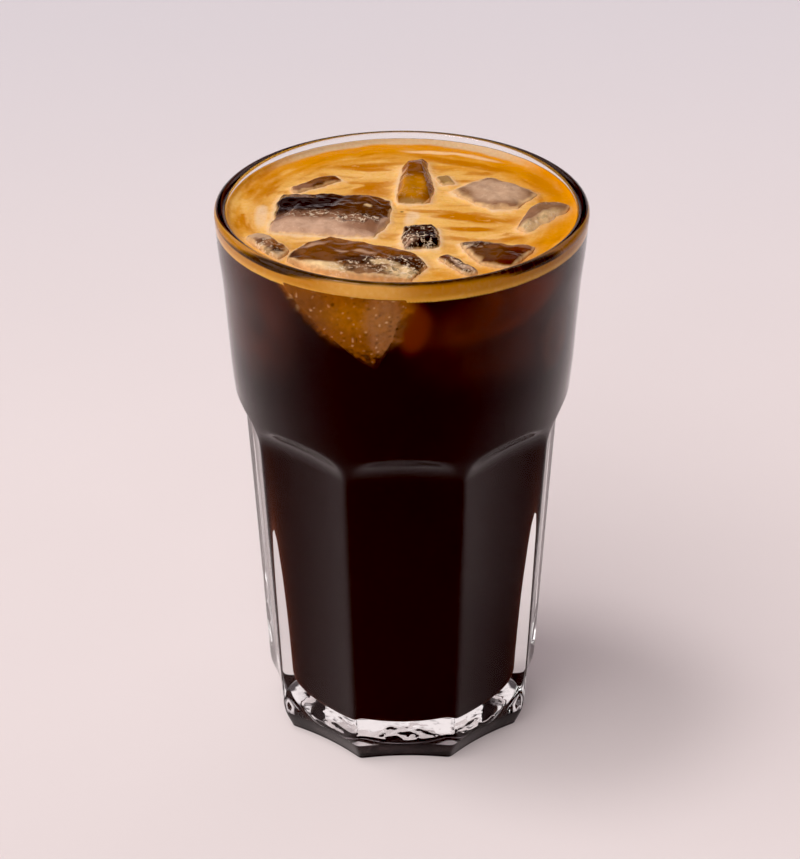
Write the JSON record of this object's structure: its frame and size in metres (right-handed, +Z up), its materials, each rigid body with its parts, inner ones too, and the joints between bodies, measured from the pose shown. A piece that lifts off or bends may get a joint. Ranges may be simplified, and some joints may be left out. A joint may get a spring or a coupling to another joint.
{
  "type": "iced coffee in a glass",
  "caption": "Iced coffee with a crema layer and floating lumps of ice in a tall glass tumbler with a round rim, fluted lower wall and thick clear foot.",
  "frame": {"origin": "centre of the glass's foot, on the surface that it stands on", "axes": "+Z up along the glass's axis, -Y towards the middle of the front flute, +X to the right seen from the front"},
  "size_m": [0.084, 0.084, 0.132],
  "materials": {
    "clear_glass": "clear polished glass",
    "black_coffee": "near-black coffee, red-brown where it is thin",
    "crema_foam": "golden foam with paler swirls",
    "clear_ice": "wet melting ice, clear with frosted patches"
  },
  "bodies": {
    "root": {"glass": "clear_glass", "coffee": "black_coffee", "crema": "crema_foam", "ice_left": "clear_ice", "ice_front": "clear_ice", "ice_back": "clear_ice", "ice_back_right": "clear_ice", "ice_right": "clear_ice", "ice_centre": "clear_ice", "ice_front_right": "clear_ice", "ice_front_left": "clear_ice", "ice_sliver": "clear_ice", "ice_far_left": "clear_ice", "ice_chip": "clear_ice"}
  },
  "joints": []
}
